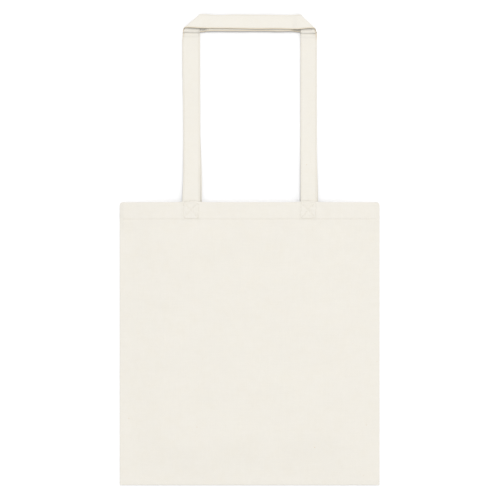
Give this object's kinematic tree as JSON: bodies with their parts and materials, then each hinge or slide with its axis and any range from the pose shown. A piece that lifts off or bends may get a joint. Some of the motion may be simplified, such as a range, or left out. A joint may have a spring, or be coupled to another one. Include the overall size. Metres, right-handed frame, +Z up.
{
  "type": "canvas tote bag",
  "caption": "Flat rectangular open-top bag of natural canvas with a hemmed mouth and a pair of long flat strap handles, lying on its back panel.",
  "frame": {"origin": "on the surface that the bag lies on, at the middle of the whole length and width", "axes": "+X to the right across the bag, +Y from the closed bottom towards the handles, +Z up, out of the front panel"},
  "size_m": [0.38, 0.69, 0.0146],
  "materials": {
    "canvas_panel": "plain woven natural cotton canvas, unbleached, matt",
    "canvas_inside": "inner face and turned-in layers of the same canvas, matt",
    "strap_canvas": "folded canvas strap, edge stitched, matt",
    "sewing_thread": "natural cotton sewing thread"
  },
  "bodies": {
    "back": {"back_panel": "canvas_panel", "back_hem": "canvas_inside", "back_hem_stitching": "sewing_thread", "left_seam_allowance": "canvas_inside", "right_seam_allowance": "canvas_inside", "bottom_seam_allowance": "canvas_inside", "left_overlock": "sewing_thread", "right_overlock": "sewing_thread", "bottom_overlock": "sewing_thread", "left_seam_stitching": "sewing_thread", "right_seam_stitching": "sewing_thread", "bottom_seam_stitching": "sewing_thread", "back_left_handle_end": "strap_canvas", "back_right_handle_end": "strap_canvas", "back_left_box_stitching": "sewing_thread", "back_right_box_stitching": "sewing_thread"},
    "front": {"front_panel": "canvas_panel", "front_hem": "canvas_inside", "front_hem_stitching": "sewing_thread", "front_left_handle_end": "strap_canvas", "front_right_handle_end": "strap_canvas", "front_left_box_stitching": "sewing_thread", "front_right_box_stitching": "sewing_thread"},
    "back_handle": {"back_handle_strap": "strap_canvas", "back_handle_stitching": "sewing_thread"},
    "front_strap_roots": {"front_left_strap_root": "strap_canvas", "front_right_strap_root": "strap_canvas"},
    "front_handle": {"front_handle_strap": "strap_canvas", "front_handle_stitching": "sewing_thread"}
  },
  "joints": [
    {"name": "mouth_opening", "type": "hinge", "parent": "back", "child": "front", "pos_m": [0, -0.345, 0.0016], "axis": [1, 0, 0], "range_deg": [0, 6]},
    {"name": "back_handle_swing", "type": "hinge", "parent": "back", "child": "back_handle", "pos_m": [0, 0.0754, 0.0031], "axis": [1, 0, 0], "range_deg": [0, 85]},
    {"name": "front_strap_swing", "type": "hinge", "parent": "front", "child": "front_strap_roots", "pos_m": [0, 0.0712, 0.0073], "axis": [1, 0, 0], "range_deg": [0, 90]},
    {"name": "front_handle_fold", "type": "hinge", "parent": "front_strap_roots", "child": "front_handle", "pos_m": [0, 0.086, 0.0073], "axis": [1, 0, 0], "range_deg": [0, 90]}
  ],
  "couplings": [
    {"joint": "front_strap_swing", "follows": "back_handle_swing", "ratio": 1.05}
  ]
}
